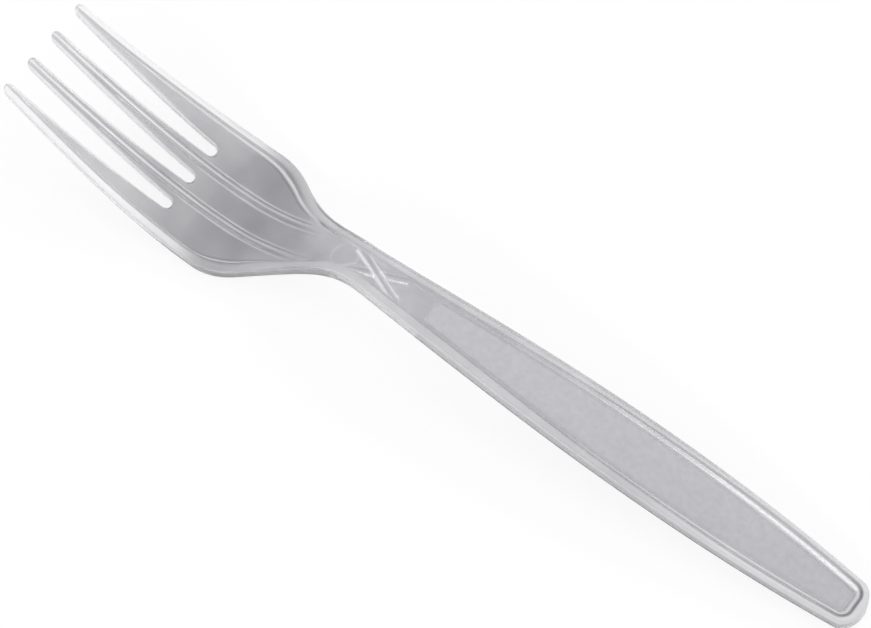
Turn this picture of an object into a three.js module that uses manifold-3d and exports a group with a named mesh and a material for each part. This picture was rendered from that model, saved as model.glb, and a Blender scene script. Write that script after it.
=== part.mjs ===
// A clear moulded table fork, one solid piece, lying face up as it rests on a table.
// X runs along the fork from the tine tips (-X) to the handle end (+X), Y runs across it, and Z is
// up from the table. The origin is on the table, midway along the length. Sizes are millimetres.
import * as THREE from 'three';
import { LoftGeometry } from 'three/addons/geometries/LoftGeometry.js';
import { mergeVertices } from 'three/addons/utils/BufferGeometryUtils.js';
import Module from 'manifold-3d';

const { lerp, smoothstep, clamp, degToRad } = THREE.MathUtils;

// Plan: the outline seen from above
const LENGTH = 180; // tine tips to handle end
const HEAD_WIDTH = 27.5; // across the bowl at its widest
const NECK_WIDTH = 8.35; // across the neck at its narrowest
const HANDLE_WIDTH = 13.8; // across the handle at its widest
const END_WIDTH = 8.5; // across the handle where its rounded end would close it
const END_ROUND = 3; // length of the rounded handle end
const HEAD_TO_TIP = 44; // from the tips to the widest place of the bowl
const SHOULDER_TO_TIP = 52; // from the tips to the steepest place of the shoulder
const SHOULDER_WIDTH = 22.14; // across the fork at that place
const NECK_TO_TIP = 75.5; // from the tips to the narrowest place of the neck
const GRIP_TO_END = 47; // from the handle end to its widest place
const SHOULDER_ANGLE = 33.5; // degrees the shoulder closes in by, each side
const FLARE_ANGLE = 4.07; // degrees the handle opens by at the neck, each side
const CLOSE_ANGLE = 7.07; // degrees the handle closes in by at its end, each side

// Tines and slots
const TINES = 4;
const TINE_LENGTH = 34; // tips to the ends of the slots
const TIP_PITCH = 6.93; // between tine centres at the tips
const ROOT_PITCH = 6.75; // between slot centres at the slot ends
const TIP_DIAMETER = 2.28; // of the round tine tips
const TIP_FLAT = 0.35; // small flat at the very tip
const SLOT_ROOT = 2.3; // width of a slot at its round end

// Side profile: heights of the underside above the table, and angles along it
const TIP_LIFT = 15.8;
const TIP_ANGLE = 28.7; // degrees the tines rise at the tips
const LOW_TO_TIP = 45.5; // from the tips to the place where the bowl rests
const RISE_TO_TIP = 61; // from the tips to the steepest place of the neck
const RISE_LIFT = 5.1;
const RISE_ANGLE = 31;
const CREST_TO_TIP = 72; // from the tips to the top of the neck
const CREST_LIFT = 9.95;
const HANDLE_TO_TIP = 82; // from the tips to the place where the straight handle starts
const HANDLE_LIFT = 9.15;
const HANDLE_ARCH = 0.4; // the handle's rise over a straight line
const BOWL_DISH = 0.8; // rise of the head's sides over its middle, at the ends of the slots
const TIP_DISH = 0.4; // the same at the tips

// Section: heights over the underside
const TIP_FLOOR = 1.15;
const HEAD_FLOOR = 1.5;
const NECK_FLOOR = 2.1;
const END_FLOOR = 1.7;
const TIP_RIM = 1.3;
const HEAD_RIM = 2.5;
const HANDLE_RIM = 3.2;
const RIM_WIDTH = 1.5; // flat and round top of a head rim
const RIM_SLOPE = 0.75; // run of a rim's inner slope in the head
const NECK_INSET = 1.45; // rim width at the neck
const GRIP_INSET = 1.5; // rim width at the widest place of the handle
const GRIP_SLOPE = 0.9; // run of the rim's inner slope on the handle
const RIDGE_TOP = 0.6; // flat top of the ridge on each inner tine
const RIDGE_SLOPE = 0.65; // run of each side of that ridge
const RIDGE_RISE = 0.5; // ridge over the floor beside it
const VALLEY_WIDTH = 0.2; // least floor between a ridge and a head rim where they run together
const TOP_ROUND = 0.8; // rounding of the outer top edges
const BASE_ROUND = 0.2; // rounding of the outer bottom edges
const SPLIT_LENGTH = 10; // over which the handle rims part into ridges and head rims

// Forms on the floor of the neck and handle
const CROSS_TO_TIP = 75.8; // from the tips to the place where the two ribs cross
const CROSS_ANGLE = 23.5; // degrees between a crossed rib and the length of the fork
const CROSS_BASE = 2.1; // width of a crossed rib at its foot
const CROSS_TOP = 0.5; // width of its flat top
const CROSS_RISE = 0.8;
const PANEL_TO_TIP = 87.8; // from the tips to the start of the frosted grip panel
const PANEL_RISE = 0.12;
const PANEL_MARGIN = 0.25; // left clear between the panel and the foot of the rims
const END_RIM = 2.3; // width of the rim across the handle end
const LEAST_GAP = 0.08; // kept between lines of the section that run together

// Places along X
const TIP_X = -LENGTH / 2;
const END_X = LENGTH / 2;
const HEAD_X = TIP_X + HEAD_TO_TIP;
const SHOULDER_X = TIP_X + SHOULDER_TO_TIP;
const NECK_X = TIP_X + NECK_TO_TIP;
const GRIP_X = END_X - GRIP_TO_END;
const ROOT_X = TIP_X + TINE_LENGTH;
const LOW_X = TIP_X + LOW_TO_TIP;
const RISE_X = TIP_X + RISE_TO_TIP;
const CREST_X = TIP_X + CREST_TO_TIP;
const HANDLE_X = TIP_X + HANDLE_TO_TIP;
const CROSS_X = TIP_X + CROSS_TO_TIP;
const PANEL_X = TIP_X + PANEL_TO_TIP;
const FLOOR_END_X = END_X - END_RIM - GRIP_SLOPE;
const PANEL_END_X = FLOOR_END_X - PANEL_MARGIN;
const SPLIT_X = RISE_X;

// A smooth curve over X through knots of place, value and slope, cubic between neighbours.
function through(...knots) {
  return (x) => {
    let k = 1;
    while (k < knots.length - 1 && x > knots[k][0]) k++;
    const [x0, y0, m0] = knots[k - 1];
    const [x1, y1, m1] = knots[k];
    const span = x1 - x0;
    const t = clamp((x - x0) / span, 0, 1);
    const rest = 1 - t;
    const start = (1 + 2 * t) * rest * rest * y0 + t * rest * rest * span * m0;
    const end = (3 - 2 * t) * t * t * y1 - t * t * rest * span * m1;
    return start + end;
  };
}

const steepness = (degrees) => Math.tan(degToRad(degrees));

// Outline: half the width at a place along X. The tip and the end are rounded in plan.
const TIP_RADIUS = TIP_DIAMETER / 2;
const OUTER_TINE_Y = ((TINES - 1) / 2) * TIP_PITCH;
const TIP_CENTRE_X = TIP_X + Math.sqrt(TIP_RADIUS ** 2 - (TIP_FLAT / 2) ** 2);
const tipHalf = OUTER_TINE_Y + TIP_RADIUS;
const sides = through(
  [TIP_CENTRE_X, tipHalf, (HEAD_WIDTH / 2 - tipHalf) / HEAD_TO_TIP],
  [HEAD_X, HEAD_WIDTH / 2, 0],
  [SHOULDER_X, SHOULDER_WIDTH / 2, -steepness(SHOULDER_ANGLE)],
  [NECK_X, NECK_WIDTH / 2, steepness(FLARE_ANGLE)],
  [GRIP_X, HANDLE_WIDTH / 2, 0],
  [END_X, END_WIDTH / 2, -steepness(CLOSE_ANGLE)],
);

function halfWidth(x) {
  if (x < TIP_CENTRE_X) {
    return OUTER_TINE_Y + Math.sqrt(TIP_RADIUS ** 2 - (TIP_CENTRE_X - x) ** 2);
  }
  const into = clamp((x - END_X + END_ROUND) / END_ROUND, 0, 1);
  return sides(x) * Math.sqrt(1 - into * into);
}

// Side profile: height of the underside over the table at a place along X, and its rise to the sides.
const handleSpan = END_X - HANDLE_X;
const handleSlope = -HANDLE_LIFT / handleSpan;
const archSlope = (4 * HANDLE_ARCH) / handleSpan;
const underside = through(
  [TIP_X, TIP_LIFT, -steepness(TIP_ANGLE)],
  [LOW_X, 0, 0],
  [RISE_X, RISE_LIFT, steepness(RISE_ANGLE)],
  [CREST_X, CREST_LIFT, 0],
  [HANDLE_X, HANDLE_LIFT, handleSlope + archSlope],
  [END_X, 0, handleSlope - archSlope],
);
const dish = through(
  [TIP_X, TIP_DISH, 0],
  [ROOT_X, BOWL_DISH, 0],
  [RISE_X, 0, 0],
  [END_X, 0, 0],
);

function baseHeight(x, y) {
  return underside(x) + dish(x) * (y / (HEAD_WIDTH / 2)) ** 2;
}

// Section heights over the underside. The floor climbs to the rim across the handle end.
const rimHeight = through(
  [TIP_X, TIP_RIM, 0],
  [ROOT_X, HEAD_RIM, 0],
  [SHOULDER_X, HEAD_RIM, 0],
  [CREST_X, HANDLE_RIM, 0],
  [END_X, HANDLE_RIM, 0],
);
const plainFloor = through(
  [TIP_X, TIP_FLOOR, 0],
  [ROOT_X, HEAD_FLOOR, 0],
  [SHOULDER_X, HEAD_FLOOR, 0],
  [CREST_X, NECK_FLOOR, 0],
  [END_X, END_FLOOR, 0],
);
const rimInset = through(
  [CREST_X, NECK_INSET, 0],
  [GRIP_X, GRIP_INSET, 0],
  [END_X, GRIP_INSET, 0],
);

function floorHeight(x) {
  const climb = clamp((x - FLOOR_END_X) / GRIP_SLOPE, 0, 1);
  return lerp(plainFloor(x), rimHeight(x), climb);
}

// Drop of a rounded edge below its crest, at a distance in from the outline.
function roundDrop(distance, radius) {
  const short = radius - clamp(distance, 0, radius);
  return radius - Math.sqrt(radius * radius - short * short);
}

// The floor between the rims, or between the ridges of the head: its half width at a place along X.
const RIDGE_Y = TIP_PITCH / 2;
const RIDGE_HALF = RIDGE_TOP / 2;
const RIM_FOOT = RIM_WIDTH + RIM_SLOPE;

function floorEdge(x) {
  const share = smoothstep(x, SPLIT_X, SPLIT_X + SPLIT_LENGTH);
  const ridgeFoot = RIDGE_Y - RIDGE_HALF - RIDGE_SLOPE;
  return lerp(ridgeFoot, halfWidth(x) - rimInset(x) - GRIP_SLOPE, share);
}

// Two ribs cross the neck from rim to rim, and a frosted grip panel stands a little over the floor.
const crossSlope = steepness(CROSS_ANGLE);
const halfAlongY = (width) => width / 2 / Math.cos(degToRad(CROSS_ANGLE));
const crossFoot = halfAlongY(CROSS_BASE);
const crossTop = halfAlongY(CROSS_TOP);
const CROSS_REACH = NECK_WIDTH / 2 / crossSlope;

function floorRise(x, y) {
  const rib = Math.abs(x - CROSS_X) * crossSlope;
  const fromRib = Math.abs(y - rib);
  const ribShare = clamp((crossFoot - fromRib) / (crossFoot - crossTop), 0, 1);
  const inPanel = Math.min(x - PANEL_X, PANEL_END_X - x, floorEdge(x) - PANEL_MARGIN - y);
  return Math.max(CROSS_RISE * ribShare, clamp(inPanel, 0, PANEL_RISE));
}

// Lines of the floor from the middle to its edge: along the ribs on the neck, else along the panel.
const PANEL_LINES = [1 / 3, 2 / 3]; // as shares of the panel's half width

function floorLine(x) {
  const edge = floorEdge(x);
  const panel = edge - PANEL_MARGIN;
  const rib = Math.abs(x - CROSS_X) * crossSlope;
  const onRibs = [rib - crossFoot, rib - crossTop, rib + crossTop, rib + crossFoot];
  const onPanel = [...PANEL_LINES.map((part) => part * panel), panel - PANEL_RISE, panel];
  const lines = Math.abs(x - CROSS_X) < CROSS_REACH ? onRibs : onPanel;
  const count = lines.length;
  const spaced = lines.map((y, k) => clamp(y, (k + 1) * LEAST_GAP, edge - (count - k) * LEAST_GAP));
  return [0, ...spaced, edge].map((y) => [y, floorHeight(x) + floorRise(x, y)]);
}

// Half of the top of a section, from the middle outward, as pairs of Y and height.
const CREST_LINES = [1, 0.9, 0.8, 0.7, 0.6]; // on the handle's rim, as shares of its width

function topLine(x, half) {
  const share = smoothstep(x, SPLIT_X, SPLIT_X + SPLIT_LENGTH);
  const floor = floorHeight(x);
  const rim = rimHeight(x);
  const inset = rimInset(x);
  const ridge = lerp(Math.min(floor + RIDGE_RISE, rim), rim, share);

  // The valley between a ridge and the head rim closes and rises where the two run together.
  const ridgeFoot = RIDGE_Y + RIDGE_HALF + RIDGE_SLOPE;
  const rimFoot = half - RIM_FOOT;
  const overrun = Math.max(0, (ridgeFoot - rimFoot + VALLEY_WIDTH) / 2);
  const valley = Math.min(rim, floor + (overrun / RIM_SLOPE) * (rim - floor));
  const valleyIn = ridgeFoot - overrun;
  const valleyOut = rimFoot + overrun;
  const ridgeOut = Math.min(RIDGE_Y + RIDGE_HALF, valleyIn - VALLEY_WIDTH);
  const rimIn = Math.max(half - RIM_WIDTH, valleyOut + VALLEY_WIDTH);

  const head = [RIDGE_Y - RIDGE_HALF, ridgeOut, valleyIn, valleyOut, rimIn];
  const handle = CREST_LINES.map((part) => half - part * inset);
  const crests = head.map((y, k) => lerp(y, handle[k], share));
  const heights = [ridge, ridge, lerp(valley, rim, share), lerp(valley, rim, share), rim];
  const line = crests.map((y, k) => [y, heights[k]]);
  return [...floorLine(x), ...line];
}

// One whole section as a ring of points, from the +Y side over the top and back below.
const ROUND_STEPS = 3; // of a rounded edge
const BASE_LINES = [0.65, 0.3, 0]; // of the underside, as shares of its flat half width

function section(x) {
  const half = halfWidth(x);
  const toEnd = END_X - x;
  const top = rimHeight(x) - roundDrop(toEnd, TOP_ROUND);
  const base = roundDrop(toEnd, BASE_ROUND);
  const topRound = Math.min(TOP_ROUND, half);
  const baseRound = Math.min(BASE_ROUND, half);
  let reach = 0;
  const line = topLine(x, half).map(([y, h]) => {
    reach = clamp(y, reach, half - topRound);
    return [reach, Math.min(h, top)];
  });
  for (let k = 0; k <= ROUND_STEPS; k++) {
    const turn = ((Math.PI / 2) * k) / ROUND_STEPS;
    line.push([half - topRound * (1 - Math.sin(turn)), top - topRound * (1 - Math.cos(turn))]);
  }
  for (let k = 0; k <= ROUND_STEPS; k++) {
    const turn = ((Math.PI / 2) * k) / ROUND_STEPS;
    const out = half - baseRound * (1 - Math.cos(turn));
    line.push([out, base + baseRound * (1 - Math.sin(turn))]);
  }
  const flat = half - baseRound;
  BASE_LINES.forEach((part) => line.push([part * flat, base]));
  const point = (y, h) => new THREE.Vector3(x, y, baseHeight(x, y) + h);
  const right = line.map(([y, h]) => point(y, h)).reverse();
  const left = line.slice(1, -1).map(([y, h]) => point(-y, h));
  return [...right, ...left];
}

// Places of the sections: close together where the form turns quickly.
const TIP_STEPS = 4;
const TINE_STEPS = 14;
const BOWL_STEPS = 5;
const SHOULDER_STEPS = 17;
const RIB_STEPS = 10;
const CROSSING_STEPS = 6;
const PANEL_STEPS = 15;
const END_STEPS = 7;

function spread(from, to, count) {
  return Array.from({ length: count }, (_, k) => lerp(from, to, k / count));
}

const crossing = crossFoot / crossSlope; // half the length over which the ribs' feet meet
const places = [
  ...spread(TIP_X, TIP_CENTRE_X, TIP_STEPS),
  ...spread(TIP_CENTRE_X, ROOT_X, TINE_STEPS),
  ...spread(ROOT_X, LOW_X, BOWL_STEPS),
  ...spread(LOW_X, CROSS_X - CROSS_REACH, SHOULDER_STEPS),
  ...spread(CROSS_X - CROSS_REACH, CROSS_X - crossing, RIB_STEPS),
  ...spread(CROSS_X - crossing, CROSS_X + crossing, CROSSING_STEPS),
  ...spread(CROSS_X + crossing, CROSS_X + CROSS_REACH, RIB_STEPS),
  CROSS_X + CROSS_REACH,
  PANEL_X,
  ...spread(PANEL_X + PANEL_RISE, PANEL_END_X - PANEL_RISE, PANEL_STEPS),
  PANEL_END_X - PANEL_RISE,
  PANEL_END_X,
  FLOOR_END_X,
  FLOOR_END_X + GRIP_SLOPE,
];
const roundStart = FLOOR_END_X + GRIP_SLOPE;
const roundTurns = spread(0, Math.PI / 2, END_STEPS).slice(1);
roundTurns.forEach((turn) => places.push(lerp(roundStart, END_X, Math.sin(turn))));
places.push(END_X);

// Turns a closed geometry into a solid that can be joined and cut.
const SAME_POINT = 1e-4; // distance within which two points are one

const wasm = await Module();
wasm.setup();

function solid(geometry) {
  const bare = new THREE.BufferGeometry();
  bare.setAttribute('position', geometry.getAttribute('position'));
  bare.setIndex(geometry.getIndex());
  const merged = mergeVertices(bare, SAME_POINT);
  const corners = merged.getIndex().array;
  const kept = [];
  for (let k = 0; k < corners.length; k += 3) {
    const [a, b, c] = corners.slice(k, k + 3);
    if (a !== b && b !== c && c !== a) kept.push(a, b, c);
  }
  const vertProperties = merged.getAttribute('position').array;
  const triVerts = new Uint32Array(kept);
  return new wasm.Manifold(new wasm.Mesh({ numProp: 3, vertProperties, triVerts }));
}

let body = solid(new LoftGeometry(places.map(section), { capStart: true }));

// Slots: each runs from a round end out between two tines and rounds their tips off.
const SLOT_STEPS = 8; // of each rounding

function slotOutline(number) {
  const root = number * ROOT_PITCH;
  const mouth = number * TIP_PITCH;
  const radius = SLOT_ROOT / 2;
  const below = mouth - TIP_PITCH / 2;
  const above = mouth + TIP_PITCH / 2;
  const turn = Math.asin(TIP_FLAT / TIP_DIAMETER);
  const outside = TIP_X - TIP_RADIUS;
  const outline = new THREE.Shape();
  outline.moveTo(outside, below + TIP_FLAT / 2);
  outline.lineTo(TIP_X, below + TIP_FLAT / 2);
  outline.absarc(TIP_CENTRE_X, below, TIP_RADIUS, Math.PI - turn, Math.PI / 2, true);
  outline.lineTo(ROOT_X - radius, root - radius);
  outline.absarc(ROOT_X - radius, root, radius, -Math.PI / 2, Math.PI / 2, false);
  outline.lineTo(TIP_CENTRE_X, above - TIP_RADIUS);
  outline.absarc(TIP_CENTRE_X, above, TIP_RADIUS, -Math.PI / 2, turn - Math.PI, true);
  outline.lineTo(outside, above - TIP_FLAT / 2);
  return outline;
}

const slotDepth = 2 * TIP_LIFT;
for (let number = 1 - TINES / 2; number <= TINES / 2 - 1; number++) {
  const options = { depth: slotDepth, bevelEnabled: false, curveSegments: SLOT_STEPS };
  const cutter = new THREE.ExtrudeGeometry(slotOutline(number), options);
  cutter.translate(0, 0, -TIP_LIFT / 2);
  body = body.subtract(solid(cutter));
}

// The finished piece
const mesh = body.getMesh();
const geometry = new THREE.BufferGeometry();
geometry.setAttribute('position', new THREE.BufferAttribute(mesh.vertProperties, 3));
geometry.setIndex(new THREE.BufferAttribute(mesh.triVerts, 1));
geometry.computeVertexNormals();

const clearPlastic = new THREE.MeshStandardMaterial({
  color: 0xc6c7cc,
  roughness: 0.2,
  metalness: 0,
  transparent: true,
  opacity: 0.7,
});
const fork = new THREE.Mesh(geometry, clearPlastic);
fork.name = 'fork';

const object = new THREE.Group();
object.add(fork);

export default object;
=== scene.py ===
import bpy
import numpy as np
from mathutils import Matrix, Vector


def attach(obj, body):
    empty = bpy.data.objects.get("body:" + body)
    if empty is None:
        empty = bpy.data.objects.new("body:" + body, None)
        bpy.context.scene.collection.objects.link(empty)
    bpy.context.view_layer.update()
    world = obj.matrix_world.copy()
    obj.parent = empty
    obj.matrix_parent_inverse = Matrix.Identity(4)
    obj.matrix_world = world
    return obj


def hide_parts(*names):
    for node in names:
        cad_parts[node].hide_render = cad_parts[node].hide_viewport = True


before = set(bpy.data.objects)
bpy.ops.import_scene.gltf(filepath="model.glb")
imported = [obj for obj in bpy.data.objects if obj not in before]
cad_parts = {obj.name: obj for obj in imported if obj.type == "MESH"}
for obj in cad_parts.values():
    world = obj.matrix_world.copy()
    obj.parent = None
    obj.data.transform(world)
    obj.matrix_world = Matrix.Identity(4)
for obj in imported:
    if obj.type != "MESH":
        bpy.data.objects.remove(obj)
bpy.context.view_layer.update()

# Outline of the fork, which is one piece of clear grey plastic, moulded in a two-part tool with its face up.
# The head is widest where the bowl starts, the neck is the narrowest place, and the grip swells before the end.
# Sizes are millimetres: X runs from the tine tips to the handle end, Y across, and Z up from the table.
MM = 0.001
TIP_X, END_X = -90.0, 90.0
TIP_CENTRE_X = -88.86  # centre of the tips' rounding
END_ROUND_X = 87.0  # where the rounded handle end starts
HEAD_HALF = 13.75
OUTLINE = (  # half the width: place along X, value and slope
    (TIP_CENTRE_X, 11.53, 0.050),
    (-46.0, HEAD_HALF, 0.0),
    (-38.0, 11.07, -0.662),
    (-14.5, 4.175, 0.071),
    (43.0, 6.9, 0.0),
    (END_X, 4.25, -0.124),
)


def through(x, knots):
    """Smooth curve over x: between two neighbouring knots, the cubic that meets both values and both slopes."""
    place, value, slope = np.array(knots).T
    k = np.clip(np.searchsorted(place, x) - 1, 0, len(place) - 2)
    span = place[k + 1] - place[k]
    t = np.clip((x - place[k]) / span, 0, 1)
    rest = 1 - t
    start = (1 + 2 * t) * rest**2 * value[k] + t * rest**2 * span * slope[k]
    end = (3 - 2 * t) * t**2 * value[k + 1] - t**2 * rest * span * slope[k + 1]
    return start + end


def half_width(x):
    """Half the fork's width at x, without the rounded tips and end."""
    return through(np.clip(x, TIP_CENTRE_X, None), OUTLINE)


def stretch(x):
    """How much longer a step across the rim is along Y than square to the outline: one over the slope's cosine."""
    step = 0.05
    return np.hypot(1, (half_width(x + step) - half_width(x - step)) / (2 * step))


# Tines: four of them, tapered to round tips, with three slots between them that the tool leaves open.
# A slot has straight sides from its mouth at the tips to a half circle at its root in the head.
TINE_CENTRES = (3.465, 10.395)  # of the two tines on a side, at the tips
TIP_RADIUS = 1.14
SLOT_END_X = -56.0
SLOT_RADIUS = 1.15
SLOT_ROOT_X = SLOT_END_X - SLOT_RADIUS
SLOT_CENTRES = (0.0, 6.75)  # of the middle slot and of a side one, at their round ends
SLOT_ROUND = 0.42  # rounding of the slot edges


def slot_line(x, number):
    """Centre and half width of a slot at x: straight sides from its mouth to its round end, then a half circle."""
    mouth = 2 * TINE_CENTRES[0] * number
    share = np.clip((x - TIP_CENTRE_X) / (SLOT_ROOT_X - TIP_CENTRE_X), 0, 1)
    centre = mouth + (SLOT_CENTRES[number] - mouth) * share
    mouth_half = TINE_CENTRES[0] - TIP_RADIUS
    straight = mouth_half + (SLOT_RADIUS - mouth_half) * share
    arc = np.sqrt(np.clip(SLOT_RADIUS**2 - np.clip(x - SLOT_ROOT_X, 0, None) ** 2, 0, None))
    return centre, np.where(x < SLOT_ROOT_X, straight, arc)


# Rims and ridges: a rim stiffens each side from the tips to the end, and a ridge runs down each inner tine.
# On the neck a ridge and the head's rim come together into the handle's rim. All are raised on the face alone.
RIM_TOP = (  # width of the rim's crest
    (-70.0, 1.3, 0.0),
    (-50.0, 1.5, 0.0),
    (-42.0, 1.85, 0.0),
    (-36.0, 1.85, 0.0),
    (-27.0, 1.5, 0.0),
    (-18.0, 1.6, 0.0),
    (8.0, 1.75, 0.0),
    (40.0, 1.4, 0.0),
    (72.0, 0.95, 0.0),
)
RIM_RUN = (  # run of its inner slope, which widens at the shoulders and towards the end
    (-48.0, 0.75, 0.0),
    (-41.5, 1.2, 0.0),
    (-33.0, 0.75, 0.0),
    (-29.0, 0.75, 0.0),
    (-19.0, 0.75, 0.0),
    (8.0, 0.7, 0.0),
    (40.0, 1.1, 0.0),
    (72.0, 1.6, 0.0),
)
TOP_ROUND = ((TIP_X, 0.45, 0.0), (-72.0, 0.5, 0.0))  # rounding of the outer top edge
BASE_ROUND = 0.2
RIDGE_RISE, RIDGE_TOP, RIDGE_RUN = 0.5, 0.5, 0.75
SPLIT_X, SPLIT_LENGTH = -29.0, 10.0  # where the handle's rims part into ridges and head rims
FADE_X, FADE_LENGTH = -37.0, 11.0  # where a ridge sinks towards the neck


def ease(t):
    """Soft step: 0 below 0, 1 above 1, and between them three t squared less two t cubed."""
    t = np.clip(t, 0, 1)
    return (3 - 2 * t) * t**2


def split(x):
    """0 in the head, 1 on the handle, with a soft step between them."""
    return ease((x - SPLIT_X) / SPLIT_LENGTH)


def floor_edge(x):
    """Half the width of the floor between the feet of the rims."""
    return half_width(x) - (through(x, RIM_TOP) + through(x, RIM_RUN)) * stretch(x)


def ridge_line(x):
    """Distance of a ridge from the middle: along the inner tines, then into the crest of the handle's rim."""
    crest = half_width(x) - through(x, RIM_TOP) * stretch(x) + RIDGE_TOP / 2
    return TINE_CENTRES[0] + (crest - TINE_CENTRES[0]) * split(x)


# Plan of the mesh: a grid whose columns follow the slots, ridges and rims, and whose rows cross the fork.
# Each half has an inner strip, from the middle slot over the ridge to the side slot, and an outer strip from there
# over the rim to the outline. Past the slots the strips meet on one line.
LANE_X, LANE_LENGTH = -52.0, 11.0  # where the strips' common line moves to the middle between ridge and rim
JOIN_X, JOIN_LENGTH, JOIN_MARGIN = -30.0, 9.0, 0.65  # where it swings onto the handle's rim
LEAST_STEP = 0.05  # between two guide lines
FLOOR_PARTS = 3  # of the handle's half floor, where the inner part ends on a guide line


def in_order(strip):
    """Guide lines of a strip, each held at least a step past the one before it and short of the ones to come."""
    last = len(strip) - 1
    held = [
        np.clip(line, strip[0] + k * LEAST_STEP, strip[last] - (last - k) * LEAST_STEP) - k * LEAST_STEP
        for k, line in enumerate(strip)
    ]
    return np.maximum.accumulate(np.stack(held, axis=-1), axis=-1) + np.arange(last + 1) * LEAST_STEP


def guides(x):
    """Guide lines of one half, from the middle slot outward, as an array with the lines along its last axis.

    In the head they follow the slots, the ridge and the rim, and on the handle the floor, the slope, the crest
    and the rounded edge. A soft step blends the two sets.
    """
    x = np.clip(x, TIP_CENTRE_X, None)
    half, ridge, foot = half_width(x), ridge_line(x), RIDGE_TOP / 2 + RIDGE_RUN
    edge = floor_edge(x)
    crest = half - through(x, RIM_TOP) * stretch(x)
    rounding = through(x, TOP_ROUND) * stretch(x)
    middle = slot_line(x, 0)[1]
    side_centre, side = slot_line(x, 1)
    lane = (ridge + foot + edge) / 2
    meeting = side_centre + (lane - side_centre) * ease((x - LANE_X) / LANE_LENGTH)
    inner = [middle, middle + SLOT_ROUND, ridge - foot, ridge - RIDGE_TOP / 2, ridge + RIDGE_TOP / 2, ridge + foot]
    inner += [meeting - side - SLOT_ROUND, meeting - side]
    outer = [meeting + side, meeting + side + SLOT_ROUND, edge, crest, half - rounding, half]
    head = np.concatenate([in_order(inner), in_order(outer)], axis=-1)
    join = half - JOIN_MARGIN
    floor_lines = [np.zeros_like(x), edge / FLOOR_PARTS, edge]
    crest_lines = [crest + (join - crest) * share for share in np.linspace(0, 1, len(inner) - len(floor_lines))]
    edge_lines = [half - rounding * (1 - np.sin(turn)) for turn in np.linspace(0, np.pi / 2, len(outer) - 1)]
    handle = np.stack(floor_lines + crest_lines + [join] + edge_lines, axis=-1)
    return head + (handle - head) * ease((x - JOIN_X) / JOIN_LENGTH)[..., None]


def columns(*bands):
    """Columns of a strip as lower line, upper line and share between them.

    A band gives its lower line, a count, and -1, 0 or 1 for columns bunched at the lower line, even, or bunched at
    the upper one, by the sines of even angles.
    """
    lower, upper, share = [], [], []
    for line, count, bunch in bands:
        steps = np.arange(count) / count
        share.append({-1: 1 - np.cos(steps * np.pi / 2), 0: steps, 1: np.sin(steps * np.pi / 2)}[bunch])
        lower.append(np.full(count, line))
        upper.append(np.full(count, line + 1))
    lower.append([lower[-1][0]])
    upper.append([upper[-1][0]])
    share.append([1.0])
    return np.concatenate(lower), np.concatenate(upper), np.concatenate(share)


# Bands of columns: lower guide line, number of columns, and how they bunch
INNER_BANDS = ((0, 4, -1), (1, 9, 1), (2, 6, 0), (3, 2, 0), (4, 4, 0), (5, 5, -1), (6, 4, 1))
OUTER_BANDS = ((8, 4, -1), (9, 7, 1), (10, 4, 0), (11, 3, 0), (12, 7, 1))
inner_columns, outer_columns = columns(*INNER_BANDS), columns(*OUTER_BANDS)
lower, upper, mix = (np.concatenate(pair) for pair in zip(inner_columns, outer_columns))
inner_count, outer_count = len(inner_columns[0]), len(outer_columns[0])
count = inner_count + outer_count


def across(x):
    """Y of each column of one half at x: a mix of the two guide lines that the column lies between."""
    lines = guides(x)
    column = np.arange(count)
    return (1 - mix) * lines[..., column, lower] + mix * lines[..., column, upper]


# Rows stand close together at the tips, the slot ends, the crossed ribs and the handle end
TIP_ZONE, ROOT_ZONE, RIB_START, RIB_END, PANEL_ZONE, END_ZONE = -84.0, -54.0, -24.0, -4.4, -0.9, 84.0
CROWD = 1.7  # power that crowds rows towards an end
TIP_ROWS, TINE_ROWS, ROUND_ROWS, ROOT_ROWS, HEAD_ROWS = 16, 46, 9, 10, 66
RIB_ROWS, NECK_ROWS, GRIP_ROWS, END_ROWS = 104, 22, 80, 44
rows = np.concatenate(
    [
        TIP_X + (TIP_ZONE - TIP_X) * np.linspace(0, 1, TIP_ROWS, endpoint=False) ** CROWD,
        np.linspace(TIP_ZONE, SLOT_ROOT_X, TINE_ROWS, endpoint=False),
        SLOT_ROOT_X + SLOT_RADIUS * np.sin(np.linspace(0, np.pi / 2, ROUND_ROWS, endpoint=False)),
        SLOT_END_X + (ROOT_ZONE - SLOT_END_X) * np.linspace(0, 1, ROOT_ROWS, endpoint=False) ** CROWD,
        np.linspace(ROOT_ZONE, RIB_START, HEAD_ROWS, endpoint=False),
        np.linspace(RIB_START, RIB_END, RIB_ROWS, endpoint=False),
        np.linspace(RIB_END, PANEL_ZONE, NECK_ROWS, endpoint=False),
        np.linspace(PANEL_ZONE, END_ZONE, GRIP_ROWS, endpoint=False),
        END_X - (END_X - END_ZONE) * np.linspace(1, 0, END_ROWS) ** CROWD,
    ]
)
root_row = int(np.searchsorted(rows, SLOT_END_X - LEAST_STEP / 2))

# Each column starts on the round tip of its tine and ends on the rounded end of the handle
tine_centre = np.repeat(TINE_CENTRES, (inner_count, outer_count))
at_tip = (across(np.full((1, count), TIP_CENTRE_X))[0] - tine_centre) / TIP_RADIUS
tip_x = TIP_CENTRE_X - TIP_RADIUS * np.sqrt(np.clip(1 - at_tip**2, 0, None))
at_end = across(np.full((1, count), END_ROUND_X))[0] / half_width(END_ROUND_X)
end_x = END_ROUND_X + (END_X - END_ROUND_X) * np.sqrt(np.clip(1 - at_end**2, 0, None))
x = np.repeat(rows[:, None], count, axis=1)
x = np.where(x < TIP_ZONE, tip_x + (TIP_ZONE - tip_x) * (x - TIP_X) / (TIP_ZONE - TIP_X), x)
x = np.where(x > END_ZONE, END_ZONE + (end_x - END_ZONE) * (x - END_ZONE) / (END_X - END_ZONE), x)
y = across(x)

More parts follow.
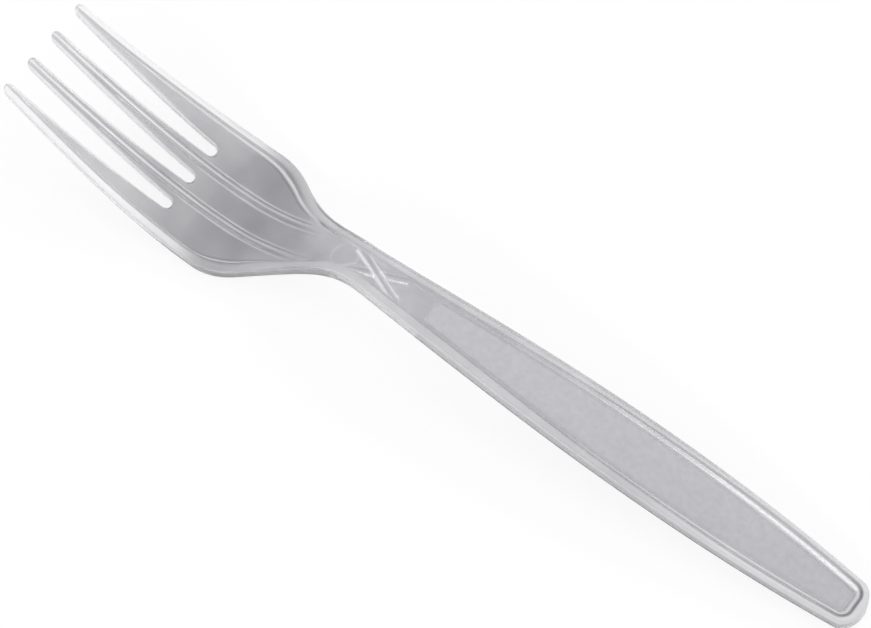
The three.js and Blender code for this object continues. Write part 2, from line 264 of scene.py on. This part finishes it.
# Both halves, from -Y to +Y, as four strips that meet along the slots' lines
x = np.concatenate([x[:, ::-1], x], axis=1)
y = np.concatenate([-y[:, ::-1], y], axis=1)
strip_starts = np.cumsum([0, outer_count, inner_count, inner_count])
off = np.abs(y)
LEAST_GRADIENT = 1e-3  # of the end's ellipse, so that its middle divides by no zero


def from_edges():
    """Distance of each grid point from the outer outline, from the slots, and from the round tips.

    Beside the fork it is the step along Y times the cosine of the outline's slope, at the rounded end the
    ellipse's level over its gradient, at a slot the step to its side or to its round end, and at a tip the step
    to its circle.
    """
    half = half_width(x)
    outer = (half - off) / stretch(x)
    end_length = END_X - END_ROUND_X
    into = np.clip((x - END_ROUND_X) / end_length, 0, None)
    level = 1 - into**2 - (off / half) ** 2
    gradient = 2 * np.hypot(into / end_length, off / half**2)
    outer = np.where(x > END_ROUND_X, level / np.maximum(gradient, LEAST_GRADIENT), outer)
    outer[-1] = 0
    slots = []
    for number in range(len(SLOT_CENTRES)):
        centre, width = slot_line(x, number)
        side = np.abs(off - centre) - width
        end = np.hypot(x - SLOT_ROOT_X, off - SLOT_CENTRES[number]) - SLOT_RADIUS
        slots.append(np.where(x < SLOT_ROOT_X, side, end))
    tine = np.where(off < 2 * TINE_CENTRES[0], *TINE_CENTRES)
    tip = TIP_RADIUS - np.hypot(x - TIP_CENTRE_X, off - tine)
    return np.maximum(outer, 0), np.maximum(np.minimum(*slots), 0), np.maximum(tip, 0)


from_side, from_slot, from_tip = from_edges()
on_tip = x < TIP_CENTRE_X

# Relief of the face: the rims and ridges over the floor, two crossed ribs on the neck, the round mark of a pin
# of the tool, and a grip panel that stands a little proud. Each is its rise over the floor, and they join softly.
FLOOR = (  # thickness of the floor
    (TIP_X, 1.15, 0.0),
    (-56.0, 1.35, 0.0),
    (-38.0, 1.35, 0.0),
    (-18.0, 2.1, 0.0),
    (8.0, 2.2, 0.0),
    (END_X, 1.8, 0.0),
)
RIM = (  # thickness under the rim's crest
    (TIP_X, 1.3, 0.0),
    (-56.0, 2.2, 0.0),
    (-38.0, 2.2, 0.0),
    (-18.0, 2.9, 0.0),
    (END_X, 2.8, 0.0),
)
FLOOR_END_X, FLOOR_CORNER = 86.8, 0.6
CROSS_X, CROSS_TURN, CROSS_REACH, CROSS_FADE = -14.2, np.radians(23.5), 6.4, 1.0
CROSS_FOOT, CROSS_TOP = 2.5, 0.4
CROSS_RISES = (0.85, 0.7)  # of the rib that passes over, and of the other
MARK_X, MARK_RADIUS, MARK_RISE, MARK_RUN = -21.3, 2.8, 0.08, 0.4
PANEL_X, PANEL_RISE, PANEL_RUN, PANEL_MARGIN, PANEL_CORNER = -2.2, 0.12, 0.25, 0.25, 0.6
FROST_RUN, FROST_SPREAD = 0.3, 0.45  # over which the frosting ends, and how far it goes past the panel

floor, rim = through(x, FLOOR), through(x, RIM)
beside = off - (floor_edge(x) - FLOOR_CORNER)
beyond = x - (FLOOR_END_X - FLOOR_CORNER)
outside = np.hypot(np.maximum(beside, 0), np.maximum(beyond, 0)) + np.minimum(np.maximum(beside, beyond), 0)
up_slope = (outside - FLOOR_CORNER) / stretch(x)
rim_share = ease(up_slope / through(x, RIM_RUN))
rim_rise = (rim - floor) * rim_share

from_ridge = np.abs(off - ridge_line(x))
ridge_share = ease((RIDGE_TOP / 2 + RIDGE_RUN - from_ridge) / RIDGE_RUN)
ridge_stand = 1 - ease((x - FADE_X) / FADE_LENGTH)
ridge_rise = np.minimum(RIDGE_RISE, rim - floor) * ridge_stand * ridge_share

rib_stand = ease((CROSS_REACH - np.abs(x - CROSS_X)) / CROSS_FADE)
from_ribs = [np.abs((x - CROSS_X) * np.sin(CROSS_TURN) - way * y * np.cos(CROSS_TURN)) for way in (-1, 1)]
cross_shares = [ease((CROSS_FOOT - 2 * from_rib) / (CROSS_FOOT - CROSS_TOP)) for from_rib in from_ribs]
cross_rise = np.maximum(*(rise * share for rise, share in zip(CROSS_RISES, cross_shares))) * rib_stand

mark_share = ease((MARK_RADIUS - np.hypot(x - MARK_X, y)) / MARK_RUN)
mark_rise = MARK_RISE * mark_share

to_edge = floor_edge(x) - PANEL_MARGIN - off
to_start = np.minimum(x - PANEL_X, FLOOR_END_X - PANEL_MARGIN - x)
in_panel = PANEL_CORNER - np.hypot(np.maximum(PANEL_CORNER - to_edge, 0), np.maximum(PANEL_CORNER - to_start, 0))
panel_rise = PANEL_RISE * ease(in_panel / PANEL_RUN)
frost = ease((in_panel + FROST_SPREAD) / FROST_RUN)

on_floor = 1 - rim_share
forms = [rim_rise, ridge_rise, cross_rise * on_floor, (mark_rise + panel_rise) * on_floor]
JOIN_POWER = 2  # the forms join as the root of the sum of this power
relief = np.sum([form**JOIN_POWER for form in forms], axis=0) ** (1 / JOIN_POWER)

# Heights of the two faces: the underside is bent as one with the bowl low and the neck high, the face lies a
# thickness over it, and every edge is rounded, because the plastic leaves the tool with no sharp corner.
UNDERSIDE = (  # height over the table
    (TIP_X, 15.8, -0.5475),
    (-44.5, 0.0, 0.0),
    (-29.0, 5.1, 0.601),
    (-18.0, 9.95, 0.0),
    (-8.0, 9.15, -0.077),
    (END_X, 0.0, -0.110),
)
DISH = ((TIP_X, 0.4, 0.0), (-56.0, 0.8, 0.0), (-29.0, 0.0, 0.0))  # rise at the head's sides


def round_drop(distance, radius):
    """How far a rounded edge falls below its crest: the radius less the height of a quarter circle there."""
    short = radius - np.clip(distance, 0, radius)
    return radius - np.sqrt(np.maximum(radius**2 - short**2, 0))


base = through(x, UNDERSIDE) + through(x, DISH) * (y / HEAD_HALF) ** 2
drop = round_drop(from_side, through(x, TOP_ROUND)) + round_drop(from_slot, SLOT_ROUND)
drop = np.where(on_tip, round_drop(from_tip, SLOT_ROUND), drop)
lift = round_drop(from_side, BASE_ROUND) + round_drop(from_slot, BASE_ROUND)
lift = np.where(on_tip, round_drop(from_tip, BASE_ROUND), lift)
face = np.stack([x, y, base + floor + relief - drop], axis=-1).reshape(-1, 3)
back = np.stack([x, y, base + lift], axis=-1).reshape(-1, 3)

# Closed moulding: the grid for the face, the same grid turned over for the back, and walls along the grid's edges.
# Three attributes go with it: where the panel is frosted, where painted highlights lie on slopes, crests, ribs and
# edges, and where painted shade lies as a darker line beside them.
WALL_STEPS = 4
EDGE_REACH = (  # how far an edge's light reaches
    (TIP_X, 1.5, 0.0),
    (-72.0, 1.2, 0.0),
    (-62.0, 0.6, 0.0),
    (SLOT_END_X, 0.5, 0.0),
    (0.0, 0.9, 0.0),
)
EDGE_GLOW = (  # of the face's edges
    (-62.0, 1.0, 0.0),
    (-47.0, 0.5, 0.0),
    (40.0, 0.6, 0.0),
    (70.0, 0.8, 0.0),
)
EDGE_SHADE = (  # of the line along those edges
    (TIP_X, 0.2, 0.0),
    (SLOT_END_X, 0.2, 0.0),
    (-46.0, 0.0, 0.0),
)
WALL_GLOW = ((-51.0, 1.0, 0.0), (-42.0, 0.3, 0.0), (0.0, 0.6, 0.0))
FOOT_SHARE = (  # of the walls' glow that is left at their foot
    (-56.0, 1.0, 0.0),
    (-50.0, 0.4, 0.0),
    (-42.0, 0.8, 0.0),
)
CREST_GLOW = (  # of the rims' crests
    (-62.0, 1.0, 0.0),
    (-52.0, 0.85, 0.0),
    (-42.0, 0.3, 0.0),
    (40.0, 0.45, 0.0),
    (72.0, 0.75, 0.0),
)
SLOPE_GLOW = (  # of the light line low on a rim's slope
    (TIP_X, 0.55, 0.0),
    (SLOT_END_X, 0.9, 0.0),
    (-40.0, 1.0, 0.0),
    (-30.0, 0.45, 0.0),
    (-18.0, 0.45, 0.0),
    (-10.0, 0.12, 0.0),
    (8.0, 0.12, 0.0),
    (22.0, 0.25, 0.0),
    (40.0, 0.65, 0.0),
    (68.0, 0.85, 0.0),
)
SLOPE_SHADE = (  # of the dark line high on it
    (TIP_X, 0.15, 0.0),
    (SLOT_END_X, 0.4, 0.0),
    (-40.0, 0.9, 0.0),
    (-31.0, 0.12, 0.0),
    (-22.0, 0.12, 0.0),
    (-10.0, 0.35, 0.0),
    (40.0, 0.35, 0.0),
    (72.0, 0.2, 0.0),
    (82.0, 0.25, 0.0),
    (88.0, 1.0, 0.0),
)
FOOT_SHADE = (  # of the dark line at its foot, on the shoulders
    (-50.0, 0.0, 0.0),
    (-44.0, 0.55, 0.0),
    (-36.0, 0.55, 0.0),
    (-30.0, 0.0, 0.0),
)
LIGHT_PLACE, LIGHT_REACH = 0.45, 0.55  # of those lines, as shares of the slope's run
DARK_PLACE, DARK_REACH = 0.85, 0.32
FOOT_PLACE, FOOT_REACH = -0.1, 0.3
SPILL_GLOW = (  # of the floor by a rim
    (-62.0, 0.1, 0.0),
    (-54.0, 0.13, 0.0),
    (-38.0, 0.08, 0.0),
    (-30.0, 0.0, 0.0),
)
SPILL_REACH = 3.5
THIN_GLOW = (  # painted highlight on the floor, growing towards the tips where the floor thins
    (TIP_X, 0.35, 0.0),
    (-72.0, 0.25, -0.005),
    (-58.0, 0.17, -0.006),
    (-50.0, 0.1, -0.009),
    (-41.0, 0.0, 0.0),
)
RIDGE_GLOW = (  # of the ridges' crests
    (-72.0, 1.0, 0.0),
    (-58.0, 0.75, 0.0),
    (-48.0, 0.7, 0.0),
    (-38.0, 0.55, 0.0),
)
RIDGE_FOOT_GLOW = (  # of the lines at their feet
    (-64.0, 0.0, 0.0),
    (-54.0, 0.6, 0.0),
    (-46.0, 0.65, 0.0),
    (-38.0, 0.45, 0.0),
)
RIDGE_SHADE, RIDGE_REACH = 0.4, 0.45  # of the ridges' slopes, and how far the light of crest and feet reaches
CROSS_GLOWS = (0.95, 0.45)  # of the crossed ribs' slopes: the rib that passes over, the other
CROSS_SHADES = (0.3, 0.45)  # of their crests
SHADE_REACH, EDGE_LINE = 0.3, 0.2  # of the ribs' crest lines and of the edges' line to each side
MARK_GLOW = 0.5  # of the tool mark's ring
VALLEY_GLOW, VALLEY_WIDTH = 0.6, 1.0  # of the narrow valley where a ridge runs up to the rim
point = np.arange(x.size).reshape(x.shape)
for start in strip_starts[1:]:
    point[root_row:, start] = point[root_row:, start - 1]
left = np.setdiff1d(np.arange(x.shape[1] - 1), strip_starts[1:] - 1)
quads = np.stack(
    [point[:-1, left], point[1:, left], point[1:, left + 1], point[:-1, left + 1]], axis=-1
).reshape(-1, 4)
edges = np.stack([quads, np.roll(quads, -1, axis=1)], axis=-1).reshape(-1, 2)
one_way = edges[:, 0] * x.size + edges[:, 1]
other_way = edges[:, 1] * x.size + edges[:, 0]
open_edges = edges[~np.isin(one_way, other_way)]
on_wall = np.unique(open_edges)
levels = np.arange(1, WALL_STEPS)[:, None, None] / WALL_STEPS
walls = (face[on_wall] * (1 - levels) + back[on_wall] * levels).reshape(-1, 3)
wall_place = np.searchsorted(on_wall, open_edges)
ladder = np.stack(
    [open_edges]
    + [2 * x.size + k * len(on_wall) + wall_place for k in range(WALL_STEPS - 1)]
    + [x.size + open_edges]
)
wall_quads = np.stack([ladder[:-1, :, 1], ladder[:-1, :, 0], ladder[1:, :, 0], ladder[1:, :, 1]], axis=-1)
points = np.concatenate([face, back, walls])
faces = np.concatenate([quads, quads[:, ::-1] + x.size, wall_quads.reshape(-1, 4)])
used, faces = np.unique(faces, return_inverse=True)
faces = faces.reshape(-1, 4)


def flank(share):
    """0 on the floor and on a crest, and 1 on the middle of the slope: four times the share times its rest."""
    return 4 * share * (1 - share)


def near(distance, reach):
    """1 on a line and 0 past the reach on both sides of it, with a soft fall between."""
    return ease(1 - np.abs(distance) / reach)


edge = np.where(on_tip, from_tip, np.minimum(from_side, from_slot))
climb = up_slope / through(x, RIM_RUN)  # 0 at the foot of a rim's slope, 1 at its crest
ridge_foot = from_ridge - RIDGE_TOP / 2 - RIDGE_RUN
valley = floor_edge(x) - ridge_line(x) - RIDGE_TOP / 2 - RIDGE_RUN
in_valley = ease(1 - valley / VALLEY_WIDTH) * ridge_stand * on_floor * (off > ridge_line(x))
rib_seen = (on_floor * rib_stand, on_floor * rib_stand * (1 - cross_shares[0]))
# Painted highlights: a paler, less clear plastic on the rims' slopes and crests, the ridges and their feet, the
# ribs' slopes, the mark's ring, the edges, the valley and floor by a rim, and the thinning tines
painted_light = np.maximum.reduce(
    [
        through(x, SLOPE_GLOW) * near(climb - LIGHT_PLACE, LIGHT_REACH),
        through(x, CREST_GLOW) * ease((climb - DARK_PLACE) / DARK_REACH),
        through(x, SPILL_GLOW) * near(np.minimum(up_slope, 0), SPILL_REACH),
        through(x, RIDGE_GLOW) * near(from_ridge, RIDGE_REACH) * ridge_stand,
        through(x, RIDGE_FOOT_GLOW) * near(ridge_foot, RIDGE_REACH) * ridge_stand,
        *(share * flank(rib) * seen for share, rib, seen in zip(CROSS_GLOWS, cross_shares, rib_seen)),
        MARK_GLOW * flank(mark_share) * on_floor,
        through(x, EDGE_GLOW) * near(edge, through(x, EDGE_REACH)),
        VALLEY_GLOW * in_valley,
        through(x, THIN_GLOW),
    ]
)
# Painted shade: dark lines high on the rims' slopes and at their feet on the shoulders, on the ridges' slopes, on
# the ribs' crests and along the tines' edges
shade = np.maximum.reduce(
    [
        through(x, SLOPE_SHADE) * near(climb - DARK_PLACE, DARK_REACH),
        through(x, FOOT_SHADE) * near(climb - FOOT_PLACE, FOOT_REACH),
        RIDGE_SHADE * flank(ridge_share) * ridge_stand,
        *(
            share * near(from_rib, SHADE_REACH) * seen
            for share, from_rib, seen in zip(CROSS_SHADES, from_ribs, rib_seen)
        ),
        through(x, EDGE_SHADE) * near(edge, EDGE_LINE),
    ]
)
wall_x = x.ravel()[on_wall]
# Painted highlights on the walls, fading from the face down to their foot
wall_painted_light = through(wall_x, WALL_GLOW) * np.linspace(1, through(wall_x, FOOT_SHARE), WALL_STEPS - 1)
painted_light_points = np.concatenate([painted_light.ravel(), np.zeros(x.size), wall_painted_light.ravel()])[used]
bare = np.zeros(len(points) - x.size)  # the back and the walls have no frosting and no lines
frosted, shaded = (np.concatenate([field.ravel(), bare])[used] for field in (frost, shade))

mesh = bpy.data.meshes.new("fork_moulding")
mesh.from_pydata((points[used] * MM).tolist(), [], faces.tolist())
for name, field in (("frost", frosted), ("painted_light", painted_light_points), ("shade", shaded)):
    mesh.attributes.new(name, "FLOAT", "POINT").data.foreach_set("value", field.astype(np.float32))
mesh.shade_smooth()
fork = bpy.data.objects.new("fork_moulding", mesh)
bpy.context.scene.collection.objects.link(fork)
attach(fork, "root")
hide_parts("fork")

# Clear plastic: a grey with a little blue in it, polished and slightly cloudy, with painted highlights that make
# it paler and less clear along slopes, crests, ribs and edges, and painted shade in dark lines beside them. The
# grip panel is frosted by a rough patch of the tool, so it scatters light and shows a fine grain.
CLEAR_LOW, CLEAR_HIGH = (0.46, 0.457, 0.482, 1), (0.58, 0.577, 0.602, 1)
FROST_LOW, FROST_HIGH = (0.48, 0.475, 0.505, 1), (0.54, 0.535, 0.565, 1)
PAINTED_LIGHT_COLOUR, PAINTED_SHADE_COLOUR = (0.96, 0.96, 0.965, 1), (0.2, 0.2, 0.215, 1)
CLEAR_ROUGHNESS, FROST_ROUGHNESS = 0.08, 0.45
CLEAR_PASS, EDGE_PASS, FROST_PASS = 0.95, 0.35, 0.25  # share of light that goes through and isn't scattered
PLASTIC_IOR = 1.5
CLOUD_SCALE, GRAIN_SCALE, PIT_SCALE = 130, 900, 2600
CLOUD_DETAIL, GRAIN_DETAIL, PIT_DETAIL = 2, 3, 4
CONTRAST = (-0.6, 1.6)  # to which soft noise is stretched, so that clouds and grain use both their colours
PIT_DEPTH, PIT_STRENGTH = 0.00012, 0.6

plastic = bpy.data.materials.new("clear_plastic")
plastic.use_nodes = True
nodes, links = plastic.node_tree.nodes, plastic.node_tree.links
shader = nodes["Principled BSDF"]
where = nodes.new("ShaderNodeTexCoord")


def mask(name):
    """The mesh's own attribute of that name, from 0 to 1."""
    made = nodes.new("ShaderNodeAttribute")
    made.attribute_name = name
    return made.outputs["Fac"]


def noise(scale, detail):
    """Soft noise about 0.5, with that many cells to the metre and that many finer layers."""
    made = nodes.new("ShaderNodeTexNoise")
    made.inputs["Scale"].default_value = scale
    made.inputs["Detail"].default_value = detail
    links.new(where.outputs["Object"], made.inputs["Vector"])
    return made.outputs["Fac"]


def ramp(source, low, high):
    """Straight line from low to high as the source goes from 0 to 1."""
    made = nodes.new("ShaderNodeMapRange")
    made.inputs["To Min"].default_value = low
    made.inputs["To Max"].default_value = high
    links.new(source, made.inputs["Value"])
    return made.outputs["Result"]


def blend(share, first, last):
    """The first number, which comes from a node, where the share is 0, the last where it is 1."""
    made = nodes.new("ShaderNodeMix")
    links.new(share, made.inputs[0])
    links.new(first, made.inputs[2])
    made.inputs[3].default_value = last
    return made.outputs[0]


def mix_colour(share, first, second):
    """The first colour where the share is 0, the second where it is 1, and a blend between."""
    made = nodes.new("ShaderNodeMix")
    made.data_type = "RGBA"
    links.new(share, made.inputs["Factor"])
    for socket, value in ((made.inputs[6], first), (made.inputs[7], second)):
        if isinstance(value, tuple):
            socket.default_value = value
        else:
            links.new(value, socket)
    return made.outputs[2]


frost_mask, painted_light_mask, painted_shade_mask = mask("frost"), mask("painted_light"), mask("shade")
clear_colour = mix_colour(ramp(noise(CLOUD_SCALE, CLOUD_DETAIL), *CONTRAST), CLEAR_LOW, CLEAR_HIGH)
frost_colour = mix_colour(ramp(noise(GRAIN_SCALE, GRAIN_DETAIL), *CONTRAST), FROST_LOW, FROST_HIGH)
# Painted highlights lighten the plastic towards near white and make it less clear, and painted shade darkens it
# towards a dark grey
body_colour = mix_colour(painted_shade_mask, mix_colour(painted_light_mask, clear_colour, PAINTED_LIGHT_COLOUR), PAINTED_SHADE_COLOUR)
links.new(mix_colour(frost_mask, body_colour, frost_colour), shader.inputs["Base Color"])
links.new(ramp(frost_mask, CLEAR_ROUGHNESS, FROST_ROUGHNESS), shader.inputs["Roughness"])
body_pass = ramp(painted_light_mask, CLEAR_PASS, EDGE_PASS)
links.new(blend(frost_mask, body_pass, FROST_PASS), shader.inputs["Transmission Weight"])
pits = nodes.new("ShaderNodeBump")
pits.inputs["Distance"].default_value = PIT_DEPTH
links.new(ramp(frost_mask, 0.0, PIT_STRENGTH), pits.inputs["Strength"])
links.new(noise(PIT_SCALE, PIT_DETAIL), pits.inputs["Height"])
links.new(pits.outputs["Normal"], shader.inputs["Normal"])
shader.inputs["IOR"].default_value = PLASTIC_IOR
mesh.materials.append(plastic)

# Table and backdrop: a plain white table that keeps a faint shadow of the fork, in a white room.
# Seen directly or in the plastic, part of the table's white is its own, so that it stays white in the picture.
TABLE_HALF = 3.0
TABLE_COLOUR, WHITE = (0.95, 0.95, 0.95, 1), (1, 1, 1, 1)
OWN_WHITE = 0.85  # share of the table's look that takes no shadow where it is seen directly
PASSED_WHITE = 0.38  # the same where it is seen in the plastic
TABLE_ROUGHNESS = 0.9
ROOM_FILL, ROOM_WHITE = 0.7, 1.0  # strength of the room as a light, and share of it that shows as plain white


def show(tree, lighting, shown, direct, passed, output):
    """Ends a node tree in the lighting shader, blended with the shown one.

    The first share is for rays of the picture itself, and the second for rays that a polished or clear surface
    sends on.
    """
    path = tree.nodes.new("ShaderNodeLightPath")
    total = None
    for name, share in (("Is Camera Ray", direct), ("Is Glossy Ray", passed), ("Is Transmission Ray", passed)):
        scaled = tree.nodes.new("ShaderNodeMath")
        scaled.operation = "MULTIPLY"
        scaled.inputs[1].default_value = share
        tree.links.new(path.outputs[name], scaled.inputs[0])
        if total is None:
            total = scaled.outputs[0]
            continue
        larger = tree.nodes.new("ShaderNodeMath")
        larger.operation = "MAXIMUM"
        tree.links.new(total, larger.inputs[0])
        tree.links.new(scaled.outputs[0], larger.inputs[1])
        total = larger.outputs[0]
    mixed = tree.nodes.new("ShaderNodeMixShader")
    tree.links.new(total, mixed.inputs["Fac"])
    tree.links.new(lighting.outputs[0], mixed.inputs[1])
    tree.links.new(shown.outputs[0], mixed.inputs[2])
    tree.links.new(mixed.outputs[0], tree.nodes[output].inputs["Surface"])


table_points = np.array([(-1, -1, 0), (1, -1, 0), (1, 1, 0), (-1, 1, 0)]) * TABLE_HALF
table_mesh = bpy.data.meshes.new("table")
table_mesh.from_pydata(table_points.tolist(), [], [(0, 1, 2, 3)])
table = bpy.data.objects.new("table", table_mesh)
bpy.context.scene.collection.objects.link(table)
white = bpy.data.materials.new("table_white")
white.use_nodes = True
paint = white.node_tree.nodes["Principled BSDF"]
paint.inputs["Base Color"].default_value = TABLE_COLOUR
paint.inputs["Roughness"].default_value = TABLE_ROUGHNESS
own = white.node_tree.nodes.new("ShaderNodeEmission")
own.inputs["Color"].default_value = WHITE
show(white.node_tree, paint, own, OWN_WHITE, PASSED_WHITE, "Material Output")
table_mesh.materials.append(white)

room = bpy.data.worlds.new("room")
bpy.context.scene.world = room
room.use_nodes = True
fill = room.node_tree.nodes["Background"]
fill.inputs["Color"].default_value = WHITE
fill.inputs["Strength"].default_value = ROOM_FILL
backdrop = room.node_tree.nodes.new("ShaderNodeBackground")
backdrop.inputs["Color"].default_value = WHITE
show(room.node_tree, fill, backdrop, ROOM_WHITE, ROOM_WHITE, "World Output")

# Lamps: a long soft strip on each side adds highlights to the light lines painted on the rims and ridges, and a
# softbox overhead lies where the tines and the handle mirror it to the viewer, so that the bowl between them looks
# deeper.
STRIP_SIZE = (2.0, 0.12)
LAMPS = (  # name, place in metres, size, radiance
    ("near_strip", (0.0, -0.80, 0.52), STRIP_SIZE, 5.0),
    ("far_strip", (0.0, 0.80, 0.52), STRIP_SIZE, 4.0),
    ("overhead", (0.37, 0.45, 1.0), (1.02, 0.7), 0.9),
)
for name, place, size, radiance in LAMPS:
    lamp = bpy.data.lights.new(name, "AREA")
    lamp.shape = "RECTANGLE"
    lamp.size, lamp.size_y = size
    lamp.energy = radiance * np.pi * size[0] * size[1]
    box = bpy.data.objects.new(name, lamp)
    bpy.context.scene.collection.objects.link(box)
    box.location = place
    box.rotation_mode = "QUATERNION"
    box.rotation_quaternion = Vector((0, place[1], place[2])).to_track_quat("Z", "Y")
    box.visible_transmission = False  # a lamp seen through the plastic would leave broken streaks

# Camera: it looks down on the fork from the near side, with the tines at the upper left, as in the photograph.
# Its distance and aim are millimetres, and its lens gives the photograph's scale at the fork.
VIEW_TURN, VIEW_RISE = np.radians(35.894), np.radians(62.606)
VIEW_DISTANCE = 700.0
PIXELS_PER_MM = 5.57097
AIM_RIGHT, AIM_UP = -1.126, 5.774
PHOTO_WIDTH = 871
SENSOR_WIDTH = 36
CLIP_NEAR, CLIP_FAR = 0.05, 20
cam_back = Vector(
    (np.sin(VIEW_TURN) * np.cos(VIEW_RISE), -np.cos(VIEW_TURN) * np.cos(VIEW_RISE), np.sin(VIEW_RISE))
)
cam_right = Vector((np.cos(VIEW_TURN), np.sin(VIEW_TURN), 0))
cam_up = cam_back.cross(cam_right)
camera = bpy.data.objects.new("camera", bpy.data.cameras.new("camera"))
bpy.context.scene.collection.objects.link(camera)
camera.data.sensor_width = SENSOR_WIDTH
camera.data.lens = PIXELS_PER_MM * VIEW_DISTANCE / PHOTO_WIDTH * SENSOR_WIDTH
turned = Matrix((cam_right, cam_up, cam_back)).transposed().to_4x4()
stand = (cam_right * AIM_RIGHT + cam_up * AIM_UP + cam_back * VIEW_DISTANCE) * MM
camera.matrix_world = Matrix.Translation(stand) @ turned
camera.data.clip_start, camera.data.clip_end = CLIP_NEAR, CLIP_FAR
bpy.context.scene.camera = camera
bpy.context.scene.view_settings.view_transform = "Standard"

# Light paths: light runs round many times inside clear plastic before it leaves it,
# so its paths are long enough that none is cut short.
LIGHT_BOUNCES = 24
paths = bpy.context.scene.cycles
paths.max_bounces = paths.glossy_bounces = paths.transmission_bounces = LIGHT_BOUNCES
